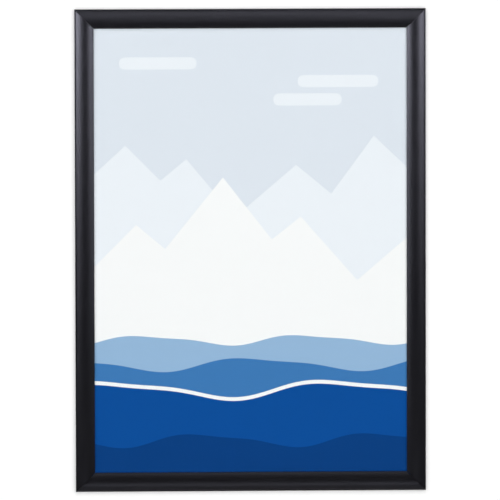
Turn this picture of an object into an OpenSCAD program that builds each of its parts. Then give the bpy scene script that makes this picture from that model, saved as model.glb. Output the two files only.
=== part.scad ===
// Wall-mounted poster snap frame: four mitred profiles round an A2 sheet. Each side has a
// fixed base rail and a sprung front cover that hinges outwards on the rail's bead.
//
// Frame of the part: X to the right, Z up, Y into the wall. The wall is the plane y = 0, the
// front faces -Y, and the origin is the middle of the frame on the wall.
//
// Every rail is drawn as a section in (u, v): u runs inwards from the frame's outer edge and
// v runs from the wall towards the front.

/* [Sheet] */
// Width of the poster sheet
sheet_w = 420; // [297:1:594]
// Height of the poster sheet
sheet_h = 594; // [420:1:841]
// Width of the sheet's margin that lies under the frame's front, on each side
sheet_overlap = 5; // [4.5:0.5:7]
// Thickness of the rigid back panel
panel_t = 1.2; // [0.8:0.1:1.4]
// Thickness of the printed poster
poster_t = 0.25; // [0.1:0.05:0.3]
// Thickness of the clear cover sheet
clear_t = 0.5; // [0.3:0.1:0.6]

/* [Profile] */
// Width of the profile, seen from the front
profile_w = 25; // [24:1:32]
// Depth of the closed frame, from the wall to the crown of the covers
profile_h = 12; // [11.5:0.5:14]
// Thickness of the covers' arched skin
skin_t = 1.2; // [1:0.1:1.4]
// Thickness of the base rail's web and of the rear lips
web_t = 1.2; // [1:0.1:1.4]
// Where the crown of the arch lies, as a share of the profile's width
crown_share = 0.5; // [0.45:0.01:0.52]

/* [Hinge] */
// Radius of the base rail's hinge bead
bead_r = 1.3; // [1.2:0.1:1.4]
// Height of the bead's centre above the wall
hinge_v = 7.2; // [7:0.1:7.5]
// Wall thickness of the hook that wraps the bead
hook_t = 1.2; // [1:0.1:1.3]

/* [Springs] */
// Length of each spring along its rail
spring_len = 22; // [15:1:30]
// Thickness of the spring strip
spring_t = 0.5; // [0.4:0.05:0.6]
// Distance of the long sides' outer springs from the middle of the side
long_spring_s = 180; // [120:5:190]
// Distance of the short sides' springs from the middle of the side
short_spring_s = 100; // [60:5:105]

/* [Fixings] */
// Radius of the wall screw holes
screw_r = 2; // [1.5:0.25:2.5]
// Distance of the wall screw holes from the frame's top and bottom edges
screw_inset = 80; // [70:5:90]
// Length of each corner key's legs, from the frame's outer corner
key_leg = 60; // [40:5:64]
// Thickness of the corner keys
key_t = 1.8; // [1.2:0.1:1.8]

/* [Clearances] */
// Gap across each mitre between two covers
cover_mitre_gap = 0.5; // [0.4:0.05:0.7]
// Gap across each mitre between two base rails
base_mitre_gap = 0.15; // [0.1:0.05:0.3]
// Running gap between the bead and the hook
bead_gap = 0.1; // [0.05:0.05:0.15]
// Gap between the covers' inner lip and the clear sheet
lip_gap = 0.2; // [0.1:0.05:0.3]
// Gap round the sheets' edges
sheet_gap = 0.6; // [0.3:0.1:1]
// Gap each side of the corner keys
key_gap = 0.2; // [0.1:0.05:0.3]
// Free gap kept between a moving cover and what it passes
swing_gap = 0.3; // [0.25:0.05:0.4]

/* [Hidden] */

// Outer size of the frame
frame_w = sheet_w + 2 * (profile_w - sheet_overlap);
frame_h = sheet_h + 2 * (profile_w - sheet_overlap);
half_w = frame_w / 2;
half_h = frame_h / 2;

// Base rail: the heights of its layers above the wall
key_room = 2;
web_v = web_t + key_room;
web_top = web_v + web_t;
sheet_v = 2.6;
shelf_t = 1.2;
wall_t = 0.8;
rib_t = 1;
neck_t = 1;
foot_t = 1;

// Base rail: the places of its walls across the profile
hinge_u = 3.6;
neck_out = hinge_u - neck_t / 2;
neck_in = hinge_u + neck_t / 2;
rib_in = profile_w - sheet_overlap - sheet_gap;
rib_out = rib_in - rib_t;
shelf_reach = 0.6;
shelf_in = profile_w - shelf_reach;
rear_lip = 3;
slot_out = neck_in + rear_lip;
slot_in = rib_out - rear_lip;
room_mid = (neck_in + rib_out) / 2;

// Hook of the cover, which wraps the bead from below the inner side to the upper outer side
hook_in_r = bead_r + bead_gap;
hook_r = hook_in_r + hook_t;
hook_from = -55;
hook_to = 135;
heel_proud = 0.4;
heel_r = hook_r + heel_proud;
heel_to = -22;

// The jaw runs on to jaw_to inside the root, which fills the hook out to the skin from root_from on
root_from = 60;
jaw_to = 75;

// Arch of the cover: one arc that just touches the hook's outside and peaks at the crown
crown_u = crown_share * profile_w;
crown_rise = profile_h - hinge_v;
arch_r = (pow(hinge_u - crown_u, 2) / (crown_rise - hook_r) + hook_r + crown_rise) / 2;
arch_v = profile_h - arch_r;
lip_t = 1.2;
lip_v = sheet_v + panel_t + poster_t + clear_t + lip_gap;

// The outer wall of the base rail stops short of the swing of the hook's tip
tip_proud = 0.1;
wall_top = hinge_v - sqrt(pow(hook_r + tip_proud + swing_gap, 2) - pow(hinge_u - wall_t, 2));

// The lower half of the hook stops short of each corner, so that two open covers stay apart
hook_relief = hinge_u + heel_r + swing_gap;

// Spring: a bow of strip that stands on a flat toe and bears towards the hook's heel
bow_gap = 0.36;
bow_mid_r = 2.6;
bow_out_r = bow_mid_r + spring_t / 2;
bow_in_r = bow_mid_r - spring_t / 2;
bow_rise = 1.2;
bow_v = web_top + bow_rise;
bow_u = hinge_u + sqrt(pow(heel_r + bow_gap + bow_out_r, 2) - pow(hinge_v - bow_v, 2));
bow_from = -asin((bow_v - web_top - spring_t / 2) / bow_mid_r);
toe_out = bow_u + bow_mid_r * cos(bow_from);
toe_gap = 0.3;
hook_lip_v = web_top + spring_t + toe_gap;
hook_lip_t = 0.8;
hook_lip_w = 1;
rib_top = hook_lip_v + hook_lip_t;

// How far cutting shapes run past what they cut, and the facets of round shapes
cut_over = 2;
bore_fn = 48;
hook_fn = 64;
arch_fn = 180;
wedge_step = 45;

// Colours
black_satin = [0.13, 0.13, 0.14];
zinc = [0.62, 0.63, 0.65];
spring_steel = [0.50, 0.51, 0.53];
panel_white = [0.88, 0.88, 0.87];
print_blue = [0.87, 0.90, 0.93];
clear_plastic = [0.92, 0.95, 0.97, 0.25];

// ---- helpers ----

// A wedge from a point, between two angles counted from +u towards +v
module wedge(from, to, r = 2 * profile_w) {
    steps = ceil((to - from) / wedge_step);
    polygon(concat([[0, 0]], [for (i = [0 : steps])
        let (angle = from + (to - from) * i / steps) [r * cos(angle), r * sin(angle)]]));
}

module box_section(u_from, u_to, v_from, v_to) {
    translate([u_from, v_from]) square([u_to - u_from, v_to - v_from]);
}

// Stands a section up as a bar of the given length, with its ends cut to the frame's mitres
module mitred_bar(len, mitre_gap) {
    setback = mitre_gap / sqrt(2);
    out = len / 2 + cut_over - setback;
    in = len / 2 - profile_w - cut_over - setback;
    intersection() {
        linear_extrude(len, center = true) children();
        rotate([-90, 0, 0]) linear_extrude(3 * profile_h, center = true)
            polygon([
                [-cut_over, out], [profile_w + cut_over, in],
                [profile_w + cut_over, -in], [-cut_over, -out]
            ]);
    }
}

// Places a bar, or any piece drawn in (u, v, s), on one side of the frame
module on_side(angle, half) {
    rotate([0, angle, 0]) translate([-half, 0, 0]) mirror([0, 1, 0]) children();
}

module on_left() { on_side(0, half_w) children(); }
module on_top() { on_side(90, half_h) children(); }
module on_right() { on_side(180, half_w) children(); }
module on_bottom() { on_side(-90, half_h) children(); }

// ---- base rails ----

module base_section() {
    box_section(0, wall_t, 0, wall_top);
    box_section(0, slot_out, 0, web_t);
    box_section(neck_out, neck_in, 0, hinge_v);
    translate([hinge_u, hinge_v]) circle(r = bead_r, $fn = bore_fn);
    box_section(neck_out, rib_in, web_v, web_top);
    box_section(slot_in, rib_in, 0, web_t);
    box_section(rib_out, rib_in, 0, rib_top);
    box_section(rib_out - hook_lip_w, rib_in, hook_lip_v, rib_top);
    box_section(rib_out, shelf_in, sheet_v - shelf_t, sheet_v);
    box_section(shelf_in - foot_t, shelf_in, 0, sheet_v);
}

module base_rail(len) {
    color(black_satin) mitred_bar(len, base_mitre_gap) base_section();
}

// A long side's rail has a wall screw hole near each end
module drilled_base_rail(len) {
    color(black_satin) difference() {
        mitred_bar(len, base_mitre_gap) base_section();
        for (s = [-1, 1])
            translate([room_mid, web_v - key_room / 2, s * (half_h - screw_inset)])
                rotate([-90, 0, 0]) cylinder(h = key_room / 2 + web_t + cut_over, r = screw_r, $fn = bore_fn);
    }
}

module base_rail_left() { on_left() drilled_base_rail(frame_h); }
module base_rail_right() { on_right() drilled_base_rail(frame_h); }
module base_rail_top() { on_top() base_rail(frame_w); }
module base_rail_bottom() { on_bottom() base_rail(frame_w); }

// ---- snap covers ----

module arch(r) {
    translate([crown_u, arch_v]) circle(r = r, $fn = arch_fn);
}

// The hook's lower jaw, the heel that the springs press on, and the root under the skin
module hook_section() {
    translate([hinge_u, hinge_v]) {
        intersection() {
            circle(r = hook_r, $fn = hook_fn);
            wedge(hook_from, jaw_to);
        }
        intersection() {
            circle(r = heel_r, $fn = hook_fn);
            wedge(hook_from, heel_to);
        }
        wedge(root_from, hook_to);
    }
}

module cover_section() {
    difference() {
        intersection() {
            arch(arch_r);
            union() {
                box_section(hinge_u, profile_w, lip_v, profile_h + cut_over);
                translate([hinge_u, hinge_v]) wedge(root_from, hook_to);
            }
        }
        difference() {
            intersection() {
                arch(arch_r - skin_t);
                box_section(-profile_w, profile_w - lip_t, 0, profile_h);
            }
            hook_section();
        }
        translate([hinge_u, hinge_v]) circle(r = hook_in_r, $fn = hook_fn);
    }
}

module snap_cover(len) {
    color(black_satin) difference() {
        mitred_bar(len, cover_mitre_gap) cover_section();
        for (side = [-1, 1])
            translate([hinge_u, hinge_v / 2, side * len / 2])
                cube([2 * heel_r + cut_over, hinge_v, 2 * hook_relief], center = true);
    }
}

module snap_cover_left() { on_left() snap_cover(frame_h); }
module snap_cover_right() { on_right() snap_cover(frame_h); }
module snap_cover_top() { on_top() snap_cover(frame_w); }
module snap_cover_bottom() { on_bottom() snap_cover(frame_w); }

// ---- corner keys: flat L plates in the base rails' rear channel ----

module corner_key(x_side, z_side) {
    out = neck_in + key_gap;
    in = rib_out - key_gap;
    color(zinc) translate([0, -web_t, 0]) rotate([90, 0, 0]) linear_extrude(key_t)
        scale([x_side, z_side]) polygon([
            [half_w - out, half_h - out], [half_w - key_leg, half_h - out], [half_w - key_leg, half_h - in],
            [half_w - in, half_h - in], [half_w - in, half_h - key_leg], [half_w - out, half_h - key_leg]
        ]);
}

module corner_key_top_left() { corner_key(-1, 1); }
module corner_key_top_right() { corner_key(1, 1); }
module corner_key_bottom_left() { corner_key(-1, -1); }
module corner_key_bottom_right() { corner_key(1, -1); }

// ---- springs ----

module spring_section() {
    translate([bow_u, bow_v]) intersection() {
        difference() {
            circle(r = bow_out_r, $fn = hook_fn);
            circle(r = bow_in_r, $fn = hook_fn);
        }
        wedge(bow_from, 180);
    }
    box_section(toe_out, rib_out, web_top, web_top + spring_t);
}

module spring(s) {
    color(spring_steel) translate([0, 0, s]) linear_extrude(spring_len, center = true) spring_section();
}

module spring_left_upper() { on_left() spring(long_spring_s); }
module spring_left_middle() { on_left() spring(0); }
module spring_left_lower() { on_left() spring(-long_spring_s); }
module spring_right_upper() { on_right() spring(-long_spring_s); }
module spring_right_middle() { on_right() spring(0); }
module spring_right_lower() { on_right() spring(long_spring_s); }
module spring_top_left() { on_top() spring(-short_spring_s); }
module spring_top_right() { on_top() spring(short_spring_s); }
module spring_bottom_left() { on_bottom() spring(short_spring_s); }
module spring_bottom_right() { on_bottom() spring(-short_spring_s); }

// ---- sheets, stacked on the base rails' shelf ----

module sheet(v, t) {
    translate([0, -v - t / 2, 0]) cube([sheet_w, t, sheet_h], center = true);
}

module back_panel() { color(panel_white) sheet(sheet_v, panel_t); }
module poster_sheet() { color(print_blue) sheet(sheet_v + panel_t, poster_t); }
module clear_cover_sheet() { color(clear_plastic) sheet(sheet_v + panel_t + poster_t, clear_t); }

base_rail_left();
base_rail_right();
base_rail_top();
base_rail_bottom();
snap_cover_left();
snap_cover_right();
snap_cover_top();
snap_cover_bottom();
corner_key_top_left();
corner_key_top_right();
corner_key_bottom_left();
corner_key_bottom_right();
spring_left_upper();
spring_left_middle();
spring_left_lower();
spring_right_upper();
spring_right_middle();
spring_right_lower();
spring_top_left();
spring_top_right();
spring_bottom_left();
spring_bottom_right();
back_panel();
poster_sheet();
clear_cover_sheet();
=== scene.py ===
import math

import bmesh
import bpy
from mathutils import Matrix, Vector


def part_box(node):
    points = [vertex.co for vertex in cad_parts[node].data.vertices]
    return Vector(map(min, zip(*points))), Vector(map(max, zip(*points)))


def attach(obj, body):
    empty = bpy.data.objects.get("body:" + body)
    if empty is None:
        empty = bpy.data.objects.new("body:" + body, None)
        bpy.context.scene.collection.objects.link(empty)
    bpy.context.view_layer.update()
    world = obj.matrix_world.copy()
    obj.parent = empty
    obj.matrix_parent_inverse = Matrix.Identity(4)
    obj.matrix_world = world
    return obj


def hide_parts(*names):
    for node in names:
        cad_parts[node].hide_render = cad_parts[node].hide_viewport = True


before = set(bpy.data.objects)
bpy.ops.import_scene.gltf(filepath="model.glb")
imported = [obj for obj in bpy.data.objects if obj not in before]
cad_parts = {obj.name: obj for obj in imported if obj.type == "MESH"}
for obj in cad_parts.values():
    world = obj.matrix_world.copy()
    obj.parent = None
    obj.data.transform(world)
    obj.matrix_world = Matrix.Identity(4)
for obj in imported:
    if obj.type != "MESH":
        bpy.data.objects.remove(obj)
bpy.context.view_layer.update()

# ---- sizes of the profile in millimetres, from the sheet outwards as in the solids ----

MM = 0.001
sheet_low, sheet_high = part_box("back_panel")
SHEET_W = (sheet_high.x - sheet_low.x) / MM
SHEET_H = (sheet_high.z - sheet_low.z) / MM
SHEET_OVERLAP = 5.0
PROFILE_W = 25.0
PROFILE_H = 12.0
FRAME_W = SHEET_W + 2 * (PROFILE_W - SHEET_OVERLAP)
FRAME_H = SHEET_H + 2 * (PROFILE_W - SHEET_OVERLAP)

HINGE = (3.6, 7.2)
SWING_GAP = 0.3

# Base rail
WEB_T = 1.2
KEY_ROOM = 2.0
WEB_V = WEB_T + KEY_ROOM
WEB_TOP = WEB_V + WEB_T
SHEET_V = 2.6
SHEET_GAP = 0.6
PANEL_T = 1.2
POSTER_T = 0.25
CLEAR_T = 0.5
SHELF_T = 1.2
SHELF_REACH = 0.6
SHELF_IN = PROFILE_W - SHELF_REACH
FOOT_T = 1.0
FOOT_OUT = SHELF_IN - FOOT_T
REAR_LIP = 3.0
RIB_T = 1.0
RIB_IN = PROFILE_W - SHEET_OVERLAP - SHEET_GAP
RIB_OUT = RIB_IN - RIB_T
RIB_TOP = 6.0
RIB_LIP_V = 5.2
RIB_LIP_W = 1.0
RIB_LIP_OUT = RIB_OUT - RIB_LIP_W
NECK_T = 1.0
NECK_OUT = HINGE[0] - NECK_T / 2
NECK_IN = HINGE[0] + NECK_T / 2
BEAD_R = 1.3
SCREW_R = 2.0
SCREW_U = (NECK_IN + RIB_OUT) / 2
SCREW_INSET = 80.0
SCREW_SIDES = ("left", "right")

# The outer wall's top is an arc that falls outwards, where the solids have a flat
WALL_T = 0.8
WALL_TOP = 6.12
WALL_ROUND_R = 1.15

# Snap cover: a hook round the bead, a heel that faces the springs, and an arch to the inner lip
SKIN_T = 1.2
HOOK_T = 1.2
BEAD_GAP = 0.1
HOOK_IN_R = BEAD_R + BEAD_GAP
HOOK_R = HOOK_IN_R + HOOK_T
HOOK_FROM = -55.0
HOOK_TO = 135.0
HEEL_PROUD = 0.4
HEEL_R = HOOK_R + HEEL_PROUD
HEEL_TO = -22.0
CROWN_U = PROFILE_W / 2
CROWN_RISE = PROFILE_H - HINGE[1]
ARCH_R = ((HINGE[0] - CROWN_U) ** 2 / (CROWN_RISE - HOOK_R) + HOOK_R + CROWN_RISE) / 2
ARCH = (CROWN_U, PROFILE_H - ARCH_R)
LIP_T = 1.2
LIP_GAP = 0.2
LIP_V = SHEET_V + PANEL_T + POSTER_T + CLEAR_T + LIP_GAP

# The lower half of each cover's hook stops short of the corners
HOOK_RELIEF = HINGE[0] + HEEL_R + SWING_GAP
HOOK_CUT_W = 8.0

BASE_MITRE_GAP = 0.15
COVER_MITRE_GAP = 0.5

# Roundings, for edges that bend by more degrees than BEVEL_ABOVE; those above SHARP_ABOVE shade sharp
BAR_ROUND = 0.07
KEY_ROUND = 0.2
SPRING_ROUND = 0.08
BEVEL_ABOVE = 40
SHARP_ABOVE = 32

# Steps of the drawn arcs, in degrees
BEAD_STEP = 10
ROUND_STEP = 8
ARCH_STEP = 0.8
UNDER_ARCH_STEP = 1.6

# Each side: the turn about Y that brings the left side there, its half distance and its length
SIDES = {
    "left": (0, FRAME_W / 2, FRAME_H),
    "top": (90, FRAME_H / 2, FRAME_W),
    "right": (180, FRAME_W / 2, FRAME_H),
    "bottom": (-90, FRAME_H / 2, FRAME_W),
}


# ---- outlines in (u, v): u inwards from the outer edge, v from the wall to the front; s is along ----

def polar(centre, r, angle):
    a = math.radians(angle)
    return (centre[0] + r * math.cos(a), centre[1] + r * math.sin(a))


def arc(centre, r, start, end, step):
    """Points along an arc, with angles in degrees from +u towards +v."""
    count = max(1, math.ceil(abs(end - start) / step))
    return [polar(centre, r, start + (end - start) * i / count) for i in range(count + 1)]


def angle_at(centre, point):
    return math.degrees(math.atan2(point[1] - centre[1], point[0] - centre[0]))


def circles_cross(a, ra, b, rb):
    """The crossing of two circles that lies to the right of the way from a to b."""
    dx, dy = b[0] - a[0], b[1] - a[1]
    d = math.hypot(dx, dy)
    along = (ra * ra - rb * rb + d * d) / (2 * d)
    off = math.sqrt(ra * ra - along * along)
    return (a[0] + (dx * along + dy * off) / d, a[1] + (dy * along - dx * off) / d)


def ray_to_circle(start, angle, centre, r):
    """Where a ray from inside a circle meets it."""
    a = math.radians(angle)
    c, s = math.cos(a), math.sin(a)
    px, py = start[0] - centre[0], start[1] - centre[1]
    b = px * c + py * s
    t = -b + math.sqrt(b * b - (px * px + py * py - r * r))
    return (start[0] + t * c, start[1] + t * s)


def base_outline():
    neck_turn = math.degrees(math.asin((NECK_IN - HINGE[0]) / BEAD_R))
    bead = arc(HINGE, BEAD_R, neck_turn - 90, 270 - neck_turn, BEAD_STEP)
    wall_turn = math.degrees(math.asin(WALL_T / WALL_ROUND_R))
    wall_top = arc((WALL_T, WALL_TOP - WALL_ROUND_R), WALL_ROUND_R, 90, 90 + wall_turn, ROUND_STEP)
    slot_out = NECK_IN + REAR_LIP
    slot_in = RIB_OUT - REAR_LIP
    shelf_under = SHEET_V - SHELF_T
    return [
        (0, 0), (slot_out, 0), (slot_out, WEB_T), (NECK_IN, WEB_T),
        (NECK_IN, WEB_V), (RIB_OUT, WEB_V), (RIB_OUT, WEB_T), (slot_in, WEB_T),
        (slot_in, 0), (RIB_IN, 0), (RIB_IN, shelf_under),
        (FOOT_OUT, shelf_under), (FOOT_OUT, 0), (SHELF_IN, 0), (SHELF_IN, SHEET_V),
        (RIB_IN, SHEET_V), (RIB_IN, RIB_TOP), (RIB_LIP_OUT, RIB_TOP),
        (RIB_LIP_OUT, RIB_LIP_V), (RIB_OUT, RIB_LIP_V), (RIB_OUT, WEB_TOP), (NECK_IN, WEB_TOP),
        *bead,
        (NECK_OUT, WEB_T), (WALL_T, WEB_T), *wall_top,
    ]


def cover_outline():
    inner_r = ARCH_R - SKIN_T
    hook_end = ray_to_circle(HINGE, HOOK_TO, ARCH, ARCH_R)
    lip_out = PROFILE_W - LIP_T
    lip_turn = math.degrees(math.acos((PROFILE_W - ARCH[0]) / ARCH_R))
    under_turn = math.degrees(math.acos((lip_out - ARCH[0]) / inner_r))
    # Where the hook's outer round leaves the underside of the arch
    jaw = circles_cross(ARCH, inner_r, HINGE, HOOK_R)
    return [
        *arc(ARCH, ARCH_R, angle_at(ARCH, hook_end), lip_turn, ARCH_STEP),
        (PROFILE_W, LIP_V), (lip_out, LIP_V),
        *arc(ARCH, inner_r, under_turn, angle_at(ARCH, jaw), UNDER_ARCH_STEP),
        *arc(HINGE, HOOK_R, angle_at(HINGE, jaw), HEEL_TO, ROUND_STEP)[1:],
        *arc(HINGE, HEEL_R, HEEL_TO, HOOK_FROM, ROUND_STEP),
        *arc(HINGE, HOOK_IN_R, HOOK_FROM, HOOK_TO, BEAD_STEP),
    ]


# ---- meshes ----

def new_object(name, data):
    obj = bpy.data.objects.new(name, data)
    bpy.context.scene.collection.objects.link(obj)
    return obj


def object_from(bm, name):
    """An object with the mesh that was built up in bm."""
    mesh = bpy.data.meshes.new(name)
    bm.to_mesh(mesh)
    bm.free()
    return new_object(name, mesh)


def mitred_bar(name, outline, length, mitre_gap):
    """A bar of the outline along s with mitred ends, and a UV map of (across, along) in metres."""
    setback = mitre_gap / math.sqrt(2)
    bm = bmesh.new()
    rows = []
    for side in (-1, 1):
        rows.append([bm.verts.new((u, v, side * (length / 2 - u - setback))) for u, v in outline])
    count = len(outline)
    across = [0.0]
    for i in range(count):
        a, b = outline[i], outline[(i + 1) % count]
        across.append(across[-1] + math.hypot(b[0] - a[0], b[1] - a[1]))
    layer = bm.loops.layers.uv.new("rail")
    for i in range(count):
        j = (i + 1) % count
        face = bm.faces.new((rows[0][i], rows[0][j], rows[1][j], rows[1][i]))
        for loop, at in zip(face.loops, (across[i], across[i + 1], across[i + 1], across[i])):
            loop[layer].uv = (at * MM, loop.vert.co.z * MM)
    for row in rows:
        cap = bm.faces.new(row)
        for loop in cap.loops:
            loop[layer].uv = (loop.vert.co.x * MM, loop.vert.co.z * MM)
    bmesh.ops.triangulate(bm, faces=[f for f in bm.faces if len(f.verts) > 4])
    bmesh.ops.recalc_face_normals(bm, faces=bm.faces)
    return object_from(bm, name)


def cutter_box(centre, size):
    bm = bmesh.new()
    bmesh.ops.create_cube(bm, size=1)
    bmesh.ops.scale(bm, vec=size, verts=bm.verts)
    bmesh.ops.translate(bm, vec=centre, verts=bm.verts)
    return object_from(bm, "cutter")


def cutter_rod(centre, r, length):
    """A rod along v."""
    bm = bmesh.new()
    bmesh.ops.create_cone(bm, cap_ends=True, segments=40, radius1=r, radius2=r, depth=length)
    bmesh.ops.rotate(bm, verts=bm.verts, matrix=Matrix.Rotation(math.pi / 2, 3, "X"))
    bmesh.ops.translate(bm, vec=centre, verts=bm.verts)
    return object_from(bm, "cutter")


def bake_modifiers(obj):
    """Replaces an object's mesh by what its modifiers make of it."""
    graph = bpy.context.evaluated_depsgraph_get()
    mesh = bpy.data.meshes.new_from_object(obj.evaluated_get(graph))
    obj.modifiers.clear()
    obj.data = mesh


def cut_away(obj, cutters):
    for cutter in cutters:
        cut = obj.modifiers.new("cut", "BOOLEAN")
        cut.operation = "DIFFERENCE"
        cut.solver = "EXACT"
        cut.object = cutter
    bake_modifiers(obj)
    for cutter in cutters:
        bpy.data.objects.remove(cutter)


def smooth_by_angle(mesh):
    bm = bmesh.new()
    bm.from_mesh(mesh)
    for face in bm.faces:
        face.smooth = True
    for edge in bm.edges:
        edge.smooth = edge.is_manifold and edge.calc_face_angle(0) < math.radians(SHARP_ABOVE)
    bm.to_mesh(mesh)
    bm.free()


def keep_faces_flat(obj):
    """Lets large faces rule the shading, so that small roundings don't bend it along a whole rail."""
    weigh = obj.modifiers.new("weigh", "WEIGHTED_NORMAL")
    weigh.mode = "FACE_AREA"
    weigh.weight = 100
    weigh.keep_sharp = True


def round_edges(obj, radius):
    bevel = obj.modifiers.new("round", "BEVEL")
    bevel.width = radius
    bevel.segments = 2
    bevel.limit_method = "ANGLE"
    bevel.angle_limit = math.radians(BEVEL_ABOVE)
    bevel.use_clamp_overlap = True


def put_on_side(obj, side):
    """Turns a piece drawn in (u, v, s) millimetres onto its side of the frame, in metres."""
    angle, half, _ = SIDES[side]
    place = (
        Matrix.Rotation(math.radians(angle), 4, "Y")
        @ Matrix.Translation((-half * MM, 0, 0))
        @ Matrix.Diagonal((MM, -MM, MM, 1))
    )
    obj.data.transform(place)
    obj.data.flip_normals()


# ---- materials: noise scales are per metre, and the relief of a bump is in metres ----

NOISE_LOW = 0.3
NOISE_HIGH = 0.7
METAL_RELIEF = 0.00003
PANEL_RELIEF = 0.00004

COAT_DARK = (0.0016, 0.0016, 0.0020)
COAT_LIGHT = (0.0024, 0.0024, 0.0030)
COAT_GLOSS_TINT = (0.88, 0.86, 1.0, 1)
DRAWING_LINES = (1500, 6, 1)
PANEL_DARK = (0.70, 0.70, 0.69)
PANEL_LIGHT = (0.76, 0.76, 0.75)
PAPER_FIBRES = (1, 1, 0.35)
PAPER_GLOSS = 0.06
INK_VARIATION = 0.015
CLEAR_IOR = 1.45
CLEAR_TINT = (0.992, 0.995, 0.995, 1)


def new_material(name):
    mat = bpy.data.materials.new(name)
    mat.use_nodes = True
    tree = mat.node_tree
    tree.nodes.clear()
    return mat, tree


def node(tree, kind, **settings):
    made = tree.nodes.new(kind)
    for key, value in settings.items():
        setattr(made, key, value)
    return made


def set_inputs(made, **values):
    for key, value in values.items():
        made.inputs[key.replace("_", " ")].default_value = value


def noise(tree, coords, scale, detail=2):
    made = node(tree, "ShaderNodeTexNoise")
    set_inputs(made, Scale=scale, Detail=detail)
    tree.links.new(coords, made.inputs["Vector"])
    return made.outputs["Fac"]


def stretched(tree, coords, factors):
    made = node(tree, "ShaderNodeMapping")
    made.inputs["Scale"].default_value = factors
    tree.links.new(coords, made.inputs["Vector"])
    return made.outputs["Vector"]


def spread(tree, value, low, high):
    """Maps the range that a noise mostly keeps to onto another one."""
    made = node(tree, "ShaderNodeMapRange")
    set_inputs(made, From_Min=NOISE_LOW, From_Max=NOISE_HIGH, To_Min=low, To_Max=high)
    tree.links.new(value, made.inputs["Value"])
    return made.outputs["Result"]


def tint(tree, value, dark, light):
    """Mixes two colours by a noise value."""
    made = node(tree, "ShaderNodeMix", data_type="RGBA")
    tree.links.new(value, made.inputs["Factor"])
    for socket, colour in zip([s for s in made.inputs if s.type == "RGBA"], (dark, light)):
        socket.default_value = (*colour, 1)
    return next(s for s in made.outputs if s.type == "RGBA")


def bump(tree, height, strength, distance):
    made = node(tree, "ShaderNodeBump")
    set_inputs(made, Strength=strength, Distance=distance)
    tree.links.new(height, made.inputs["Height"])
    return made.outputs["Normal"]


def combined(tree, operation, first, second):
    """One step of arithmetic on two values, each of them a socket or a number."""
    made = node(tree, "ShaderNodeMath", operation=operation)
    for socket, value in zip(made.inputs, (first, second)):
        if isinstance(value, (int, float)):
            socket.default_value = value
        else:
            tree.links.new(value, socket)
    return made.outputs[0]


def mixed(tree, share, first, second):
    """The first shader where the share is 0, and the second where it is 1."""
    made = node(tree, "ShaderNodeMixShader")
    for socket, source in zip(made.inputs, (share, first, second)):
        tree.links.new(source, socket)
    return made.outputs[0]


def principled(tree):
    shader = node(tree, "ShaderNodeBsdfPrincipled")
    out = node(tree, "ShaderNodeOutputMaterial")
    tree.links.new(shader.outputs[0], out.inputs["Surface"])
    return shader


def object_coords(tree):
    return node(tree, "ShaderNodeTexCoord").outputs["Object"]


def black_satin_material():
    """Black coated aluminium: faint drawing lines along the rail under a fine, even coat."""
    mat, tree = new_material("black_satin_aluminium")
    shader = principled(tree)
    rail = node(tree, "ShaderNodeUVMap", uv_map="rail").outputs["UV"]
    lines = noise(tree, stretched(tree, rail, DRAWING_LINES), scale=1, detail=3)
    grain = noise(tree, object_coords(tree), scale=1400)
    cloud = noise(tree, object_coords(tree), scale=16)
    both = combined(tree, "ADD", grain, lines)
    tree.links.new(tint(tree, cloud, COAT_DARK, COAT_LIGHT), shader.inputs["Base Color"])
    tree.links.new(spread(tree, lines, low=0.38, high=0.46), shader.inputs["Roughness"])
    tree.links.new(bump(tree, both, strength=0.12, distance=METAL_RELIEF), shader.inputs["Normal"])
    shader.inputs["Specular IOR Level"].default_value = 1.0
    shader.inputs["Specular Tint"].default_value = COAT_GLOSS_TINT
    return mat


def bare_metal_material(name, dark, light, roughness, lines_scale):
    """Bare metal with rolling lines and faint patches."""
    mat, tree = new_material(name)
    shader = principled(tree)
    coords = object_coords(tree)
    lines = noise(tree, stretched(tree, coords, lines_scale), scale=1, detail=4)
    patches = noise(tree, coords, scale=90, detail=3)
    tree.links.new(tint(tree, patches, dark, light), shader.inputs["Base Color"])
    tree.links.new(spread(tree, lines, *roughness), shader.inputs["Roughness"])
    tree.links.new(bump(tree, lines, strength=0.15, distance=METAL_RELIEF), shader.inputs["Normal"])
    shader.inputs["Metallic"].default_value = 1.0
    return mat


def panel_material():
    """White polystyrene sheet, matt with a fine pebbled skin."""
    mat, tree = new_material("white_panel")
    shader = principled(tree)
    coords = object_coords(tree)
    pebbles = noise(tree, coords, scale=900, detail=3)
    cloud = noise(tree, coords, scale=7, detail=3)
    tree.links.new(tint(tree, cloud, PANEL_DARK, PANEL_LIGHT), shader.inputs["Base Color"])
    tree.links.new(spread(tree, pebbles, low=0.48, high=0.60), shader.inputs["Roughness"])
    tree.links.new(bump(tree, pebbles, strength=0.2, distance=PANEL_RELIEF), shader.inputs["Normal"])
    return mat


def print_material(name, colour):
    """One ink of the print on satin paper: the fibres show faintly in its tone and gloss."""
    mat, tree = new_material(name)
    shader = principled(tree)
    coords = object_coords(tree)
    fibres = noise(tree, stretched(tree, coords, PAPER_FIBRES), scale=1600, detail=3)
    cloud = noise(tree, coords, scale=5)
    both = combined(tree, "MULTIPLY", fibres, cloud)
    dark = tuple(c * (1 - INK_VARIATION) for c in colour)
    light = tuple(min(c * (1 + INK_VARIATION), 1) for c in colour)
    tree.links.new(tint(tree, both, dark, light), shader.inputs["Base Color"])
    tree.links.new(spread(tree, fibres, low=0.50, high=0.60), shader.inputs["Roughness"])
    shader.inputs["Specular IOR Level"].default_value = PAPER_GLOSS
    return mat


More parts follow.
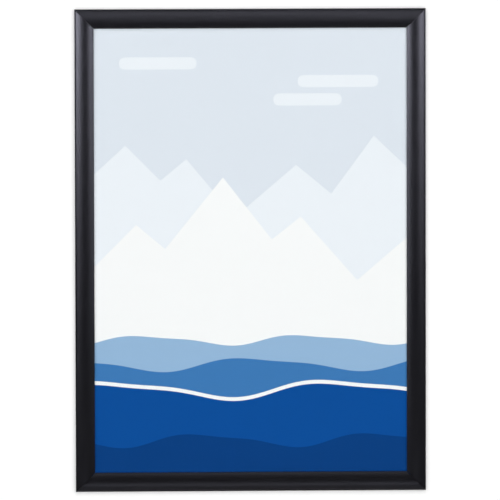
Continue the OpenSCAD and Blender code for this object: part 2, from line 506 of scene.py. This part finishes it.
def clear_sheet_material():
    """Clear anti-glare sheet, with a soft reflection that grows towards grazing angles."""
    mat, tree = new_material("clear_sheet")
    out = node(tree, "ShaderNodeOutputMaterial")
    fresnel = node(tree, "ShaderNodeFresnel")
    fresnel.inputs["IOR"].default_value = CLEAR_IOR
    behind = node(tree, "ShaderNodeNewGeometry").outputs["Backfacing"]
    share = combined(tree, "MULTIPLY", fresnel.outputs[0], combined(tree, "SUBTRACT", 1.0, behind))
    through = node(tree, "ShaderNodeBsdfTransparent")
    through.inputs["Color"].default_value = CLEAR_TINT
    gloss = node(tree, "ShaderNodeBsdfAnisotropic")
    frost = noise(tree, object_coords(tree), scale=1200)
    tree.links.new(spread(tree, frost, low=0.10, high=0.16), gloss.inputs["Roughness"])
    both = mixed(tree, share, through.outputs[0], gloss.outputs[0])
    tree.links.new(both, out.inputs["Surface"])
    return mat


def srgb(r, g, b):
    """A screen colour from 0 to 255 as linear numbers."""
    def linear(c):
        c /= 255
        return c / 12.92 if c <= 0.04045 else ((c + 0.055) / 1.055) ** 2.4

    return tuple(linear(c) for c in (r, g, b))


def assign(obj, mat):
    obj.data.materials.clear()
    obj.data.materials.append(mat)


# ---- rails and covers ----

BLACK = black_satin_material()


def base_rail(side):
    length = SIDES[side][2]
    rail = mitred_bar(f"rail_{side}", base_outline(), length, BASE_MITRE_GAP)
    if side in SCREW_SIDES:
        middle_v = WEB_V + WEB_T / 2
        holes = [(SCREW_U, middle_v, s * (length / 2 - SCREW_INSET)) for s in (-1, 1)]
        cut_away(rail, [cutter_rod(hole, SCREW_R, 3 * WEB_T) for hole in holes])
    return rail


def snap_cover(side):
    length = SIDES[side][2]
    cover = mitred_bar(f"cover_{side}", cover_outline(), length, COVER_MITRE_GAP)
    ends = [(HINGE[0], HINGE[1] / 2, s * length / 2) for s in (-1, 1)]
    cut_away(cover, [cutter_box(end, (HOOK_CUT_W, HINGE[1], 2 * HOOK_RELIEF)) for end in ends])
    return cover


def finish_bar(piece, side, body, node_name):
    """Rounds a bar's edges, puts it in its place and on its body, and coats it black."""
    round_edges(piece, BAR_ROUND)
    bake_modifiers(piece)
    put_on_side(piece, side)
    smooth_by_angle(piece.data)
    keep_faces_flat(piece)
    bake_modifiers(piece)
    assign(piece, BLACK)
    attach(piece, body)
    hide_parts(node_name)


for side in SIDES:
    rail = base_rail(side)
    cover = snap_cover(side)
    finish_bar(rail, side, "frame", f"base_rail_{side}")
    finish_bar(cover, side, f"cover_{side}", f"snap_cover_{side}")

# ---- keys, springs and sheets: the solids keep their shape and get a finish ----

ZINC = bare_metal_material("zinc_plate", dark=(0.50, 0.51, 0.53), light=(0.64, 0.65, 0.68),
                           roughness=(0.30, 0.42), lines_scale=(250, 250, 30))
SPRING = bare_metal_material("spring_strip", dark=(0.30, 0.31, 0.33), light=(0.40, 0.41, 0.43),
                             roughness=(0.22, 0.36), lines_scale=(40, 900, 900))
PANEL = panel_material()

for name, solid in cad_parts.items():
    if name.startswith("corner_key"):
        assign(solid, ZINC)
        round_edges(solid, KEY_ROUND * MM)
    elif name.startswith("spring"):
        assign(solid, SPRING)
        round_edges(solid, SPRING_ROUND * MM)
assign(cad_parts["back_panel"], PANEL)
assign(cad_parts["clear_cover_sheet"], clear_sheet_material())

# ---- poster: snowy hills behind bands of sea in flat inks, drawn as upright strips ----

INKS = {
    "paper": srgb(247, 248, 248),
    "sky": srgb(222, 229, 237),
    "haze": srgb(236, 241, 246),
    "far_sea": srgb(150, 184, 216),
    "middle_sea": srgb(62, 122, 182),
    "near_sea": srgb(2, 77, 154),
    "deep_sea": srgb(1, 62, 128),
}
STRIP_W = 0.5
OVERTONE = 0.3
OVERTONE_SHIFT = 0.6


def swell(base, height, length, shift):
    """The top of a band of sea, as a height over x in millimetres."""
    def top(x):
        a = 2 * math.pi * (x - shift) / length
        return base + height * (math.sin(a) + OVERTONE * math.sin(2 * a + OVERTONE_SHIFT))
    return top


def ridge(*points):
    """Straight slopes through points from left to right, as a height over x."""
    def top(x):
        for (x0, z0), (x1, z1) in zip(points, points[1:]):
            if x <= x1:
                break
        return z0 + (z1 - z0) * (x - x0) / (x1 - x0)
    return top


def round_bar(low_x, high_x, low_z, high_z):
    """A bar with round ends."""
    r = (high_z - low_z) / 2

    def span(x):
        if not low_x < x < high_x:
            return None
        inset = max(low_x + r - x, x - (high_x - r), 0)
        h = math.sqrt(max(r * r - inset * inset, 0))
        return ((low_z + high_z) / 2 - h, (low_z + high_z) / 2 + h)
    return span


def below(top):
    return lambda x: (-SHEET_H, top(x))


FAR_HILLS = ridge(
    (-210, 96), (-164, 138), (-118, 92), (-84, 120), (-20, 44),
    (60, 112), (106, 74), (162, 150), (210, 104))
NEAR_HILLS = ridge(
    (-210, -26), (-150, 34), (-112, 2), (-36, 96), (28, 14), (66, 44), (140, -40), (210, 20))

# Painted in order, so that later shapes cover earlier ones
POSTER_SHAPES = [
    ("haze", below(FAR_HILLS)),
    ("paper", below(NEAR_HILLS)),
    ("haze", round_bar(62, 168, 214, 230)),
    ("haze", round_bar(30, 120, 190, 206)),
    ("haze", round_bar(-172, -70, 238, 254)),
    ("far_sea", below(swell(-118, 6, 210, 20))),
    ("middle_sea", below(swell(-150, 8, 260, -60))),
    ("paper", below(swell(-181, 10, 300, 40))),
    ("near_sea", below(swell(-186, 10, 300, 40))),
    ("deep_sea", below(swell(-250, 8, 230, 110))),
]


def painted_column(x):
    """The inks up one line of the poster, as (ink, from height, to height) from the bottom up."""
    half = SHEET_H / 2
    column = [("sky", -half, half)]
    for ink, shape in POSTER_SHAPES:
        span = shape(x)
        if span is None:
            continue
        low, high = max(span[0], -half), min(span[1], half)
        if high <= low:
            continue
        kept = []
        for old, start, end in column:
            if start < low:
                kept.append((old, start, min(end, low)))
            if end > high:
                kept.append((old, max(start, high), end))
        kept.append((ink, low, high))
        column = sorted((c for c in kept if c[2] > c[1]), key=lambda c: c[1])
    return column


def poster_strips():
    """Upright strips as (x from, x to, [(ink, left low, left high, right low, right high)])."""
    count = round(SHEET_W / STRIP_W)
    xs = [-SHEET_W / 2 + SHEET_W * i / count for i in range(count + 1)]
    nudge = STRIP_W / 1000
    columns = [painted_column(min(max(x, xs[0] + nudge), xs[-1] - nudge)) for x in xs]
    for i in range(count):
        left, right = columns[i], columns[i + 1]
        if [c[0] for c in left] == [c[0] for c in right]:
            yield xs[i], xs[i + 1], [(a[0], a[1], a[2], b[1], b[2]) for a, b in zip(left, right)]
        else:
            middle = (xs[i] + xs[i + 1]) / 2
            yield xs[i], middle, [(a[0], a[1], a[2], a[1], a[2]) for a in left]
            yield middle, xs[i + 1], [(b[0], b[1], b[2], b[1], b[2]) for b in right]


def printed_face(name):
    """The poster's printed face, with every strip's corners shared with its neighbours."""
    strips = list(poster_strips())
    heights = {}
    for x0, x1, cells in strips:
        for _, left_low, left_high, right_low, right_high in cells:
            heights.setdefault(x0, set()).update((left_low, left_high))
            heights.setdefault(x1, set()).update((right_low, right_high))
    bm = bmesh.new()
    verts = {(x, z): bm.verts.new((x * MM, 0, z * MM)) for x, zs in heights.items() for z in zs}
    ladders = {x: sorted(zs) for x, zs in heights.items()}
    ink_names = list(INKS)
    for x0, x1, cells in strips:
        for ink, left_low, left_high, right_low, right_high in cells:
            up = [verts[x1, z] for z in ladders[x1] if right_low <= z <= right_high]
            down = [verts[x0, z] for z in reversed(ladders[x0]) if left_low <= z <= left_high]
            face = bm.faces.new(up + down)
            face.material_index = ink_names.index(ink)
    return object_from(bm, name)


# Kept free of the panel behind and the clear sheet in front, so that no faces coincide
POSTER_CLEAR = 0.07 * MM

poster_low, poster_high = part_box("poster_sheet")
poster = printed_face("poster_print")
poster.data.transform(Matrix.Translation((0, poster_low.y + POSTER_CLEAR, 0)))
for name, colour in INKS.items():
    poster.data.materials.append(print_material(f"ink_{name}", colour))
thicken = poster.modifiers.new("thickness", "SOLIDIFY")
thicken.thickness = poster_high.y - poster_low.y - 2 * POSTER_CLEAR
thicken.offset = -1
bake_modifiers(poster)
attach(poster, "frame")
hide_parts("poster_sheet")

# ---- stage: a white wall just behind the frame, seen from its front only, and a pale floor ----

WALL_GAP = 0.0005
WALL_HALF = 6.0
WALL_TONE = 0.82
WALL_GLOW = 0.17
FLOOR_Z = -1.1
FLOOR_FRONT = -0.42
FLOOR_BACK = 6.0
FLOOR_TONE = 0.5
FLOOR_GLOW = 0.3


def stage_plane(name, low, high, place):
    """A flat backdrop between two corners, then turned and moved into place."""
    bm = bmesh.new()
    corners = ((low[0], low[1]), (high[0], low[1]), (high[0], high[1]), (low[0], high[1]))
    bm.faces.new([bm.verts.new((x, y, 0)) for x, y in corners])
    plane = object_from(bm, name)
    plane.data.transform(place)
    return plane


def background_rays(tree, path, reflected):
    """One for the rays that should find a white background, of which the reflected ones are given."""
    seen = combined(tree, "MAXIMUM", path.outputs["Is Camera Ray"], path.outputs["Is Transmission Ray"])
    return combined(tree, "MAXIMUM", seen, reflected)


def stage_material(name, tone, glow_strength):
    """White card that keeps shadows, lifted towards white for the camera, and clear from behind."""
    mat, tree = new_material(name)
    out = node(tree, "ShaderNodeOutputMaterial")
    matt = node(tree, "ShaderNodeBsdfDiffuse")
    matt.inputs["Color"].default_value = (tone, tone, tone, 1)
    path = node(tree, "ShaderNodeLightPath")
    rays = background_rays(tree, path, path.outputs["Is Glossy Ray"])
    glow = node(tree, "ShaderNodeEmission")
    tree.links.new(combined(tree, "MULTIPLY", rays, glow_strength), glow.inputs["Strength"])
    both = node(tree, "ShaderNodeAddShader")
    tree.links.new(matt.outputs[0], both.inputs[0])
    tree.links.new(glow.outputs[0], both.inputs[1])
    clear = node(tree, "ShaderNodeBsdfTransparent")
    behind = node(tree, "ShaderNodeNewGeometry").outputs["Backfacing"]
    tree.links.new(mixed(tree, behind, both.outputs[0], clear.outputs[0]), out.inputs["Surface"])
    return mat


wall = stage_plane("stage_wall", (-WALL_HALF, -WALL_HALF), (WALL_HALF, WALL_HALF),
                   Matrix.Translation((0, WALL_GAP, 0)) @ Matrix.Rotation(math.pi / 2, 4, "X"))
floor = stage_plane("stage_floor", (-WALL_HALF, FLOOR_FRONT), (WALL_HALF, FLOOR_BACK),
                    Matrix.Translation((0, 0, FLOOR_Z)))
assign(wall, stage_material("stage_wall_card", WALL_TONE, WALL_GLOW))
assign(floor, stage_material("stage_floor_card", FLOOR_TONE, FLOOR_GLOW))
# The wall shows the frame's shadow, but gives it neither shade, light nor reflections
wall.visible_shadow = False
wall.visible_diffuse = False
wall.visible_glossy = False

# ---- light: places and sizes in metres, powers in watts, spreads in degrees ----

ROOM_LIGHT = 0.015
CARD_COLOUR = (0.93, 0.95, 1.0)
SMALL_CARD = (0.35, 0.35)
TALL_CARD = (0.35, 0.9)
WIDE_CARD = (0.9, 0.4)
FLAT_CARD = (0.9, 0.2)

# Cards beside the frame: ending of the name, place and target for the right side, size, spread,
# and power on each side
SIDE_CARDS = [
    ("", (0.803, -1.147, 0.45), (0, 0, 0.38), SMALL_CARD, 55, {"left": 0.26, "right": 0.45}),
    ("_wide", (1.072, -0.90, 0.45), (0, 0, 0.38), SMALL_CARD, 55, {"left": 0.70, "right": 0.35}),
    ("_low", (0.95, -0.75, 0.0), (0.1, 0, -0.1), TALL_CARD, 180, {"left": 0.24, "right": 0.15}),
    ("_edge", (1.09, -0.50, 0.45), (0.22, 0, 0.25), SMALL_CARD, 80, {"left": 0.60, "right": 0.33}),
]


def world_light():
    """White past the object, also in reflections of what lies behind it, and a dim room in front."""
    world = bpy.data.worlds.new("world")
    bpy.context.scene.world = world
    world.use_nodes = True
    tree = world.node_tree
    tree.nodes.clear()
    out = node(tree, "ShaderNodeOutputWorld")
    room = node(tree, "ShaderNodeBackground")
    set_inputs(room, Color=(1, 1, 1, 1), Strength=ROOM_LIGHT)
    white = node(tree, "ShaderNodeBackground")
    set_inputs(white, Color=(1, 1, 1, 1), Strength=1.0)
    heading = node(tree, "ShaderNodeSeparateXYZ")
    tree.links.new(node(tree, "ShaderNodeTexCoord").outputs["Generated"], heading.inputs[0])
    backwards = combined(tree, "GREATER_THAN", heading.outputs["Y"], 0.0)
    path = node(tree, "ShaderNodeLightPath")
    reflected = combined(tree, "MULTIPLY", path.outputs["Is Glossy Ray"], backwards)
    rays = background_rays(tree, path, reflected)
    tree.links.new(mixed(tree, rays, room.outputs[0], white.outputs[0]), out.inputs["Surface"])


def area_lamp(name, place, target, size, power, spread_angle=180):
    data = bpy.data.lights.new(name, "AREA")
    data.shape = "RECTANGLE"
    data.size, data.size_y = size
    data.energy = power
    data.spread = math.radians(spread_angle)
    lamp = new_object(name, data)
    lamp.location = place
    lamp.rotation_mode = "QUATERNION"
    lamp.rotation_quaternion = (Vector(target) - Vector(place)).to_track_quat("-Z", "Y")
    lamp.visible_camera = False
    return lamp


def fill(name, place, size, power):
    """An even light on every surface, left out of the gloss."""
    lamp = area_lamp(name, place, (0, 0, 0), size, power)
    lamp.visible_glossy = False


def card(name, place, target, size, spread_angle, power):
    """A soft card that shows in the gloss alone."""
    lamp = area_lamp(name, place, target, size, power, spread_angle)
    lamp.data.color = CARD_COLOUR
    lamp.visible_diffuse = False


def mirrored(point, sign):
    """A point given for the right side or, for a sign of -1, its mirror image on the left."""
    return (sign * point[0], point[1], point[2])


world_light()
fill("fill_front", (0, -3.2, 0.4), (5.5, 4.5), 193)
fill("fill_back", (0, 3.0, 0.8), (3.0, 2.0), 90)
for side, sign in (("left", -1), ("right", 1)):
    for ending, place, target, size, spread_angle, powers in SIDE_CARDS:
        card(f"card_{side}{ending}", mirrored(place, sign), mirrored(target, sign), size, spread_angle,
             powers[side])
card("card_top", (0, -0.8, 0.9), (0, 0, 0.3), WIDE_CARD, 180, 1.1)
card("card_low", (0, -1.1, -0.8), (0, 0, -0.37), FLAT_CARD, 25, 0.045)

# ---- camera, at the photograph's angle ----

CAMERA_TURN = -2.02
CAMERA_RISE = 4.68
CAMERA_ROLL = -0.12
CAMERA_DISTANCE = 12.0
SENSOR_W = 36
PHOTO_PIXELS = 500
PIXELS_PER_METRE = 762.3
AIM_RIGHT = -0.00057
AIM_UP = 0.0001

camera_data = bpy.data.cameras.new("camera")
camera = new_object("camera", camera_data)
camera_data.sensor_width = SENSOR_W
camera_data.lens = SENSOR_W * PIXELS_PER_METRE * CAMERA_DISTANCE / PHOTO_PIXELS
camera_data.clip_end = 100
turn, rise = math.radians(CAMERA_TURN), math.radians(CAMERA_RISE)
back = Vector((math.sin(turn) * math.cos(rise), -math.cos(turn) * math.cos(rise), math.sin(rise)))
look = (-back).to_track_quat("-Z", "Y").to_matrix().to_4x4()
look = look @ Matrix.Rotation(math.radians(CAMERA_ROLL), 4, "Z")
aim = Matrix.Translation((AIM_RIGHT, AIM_UP, 0))
camera.matrix_world = Matrix.Translation(back * CAMERA_DISTANCE) @ look @ aim
bpy.context.scene.camera = camera

bpy.context.scene.view_settings.view_transform = "Standard"
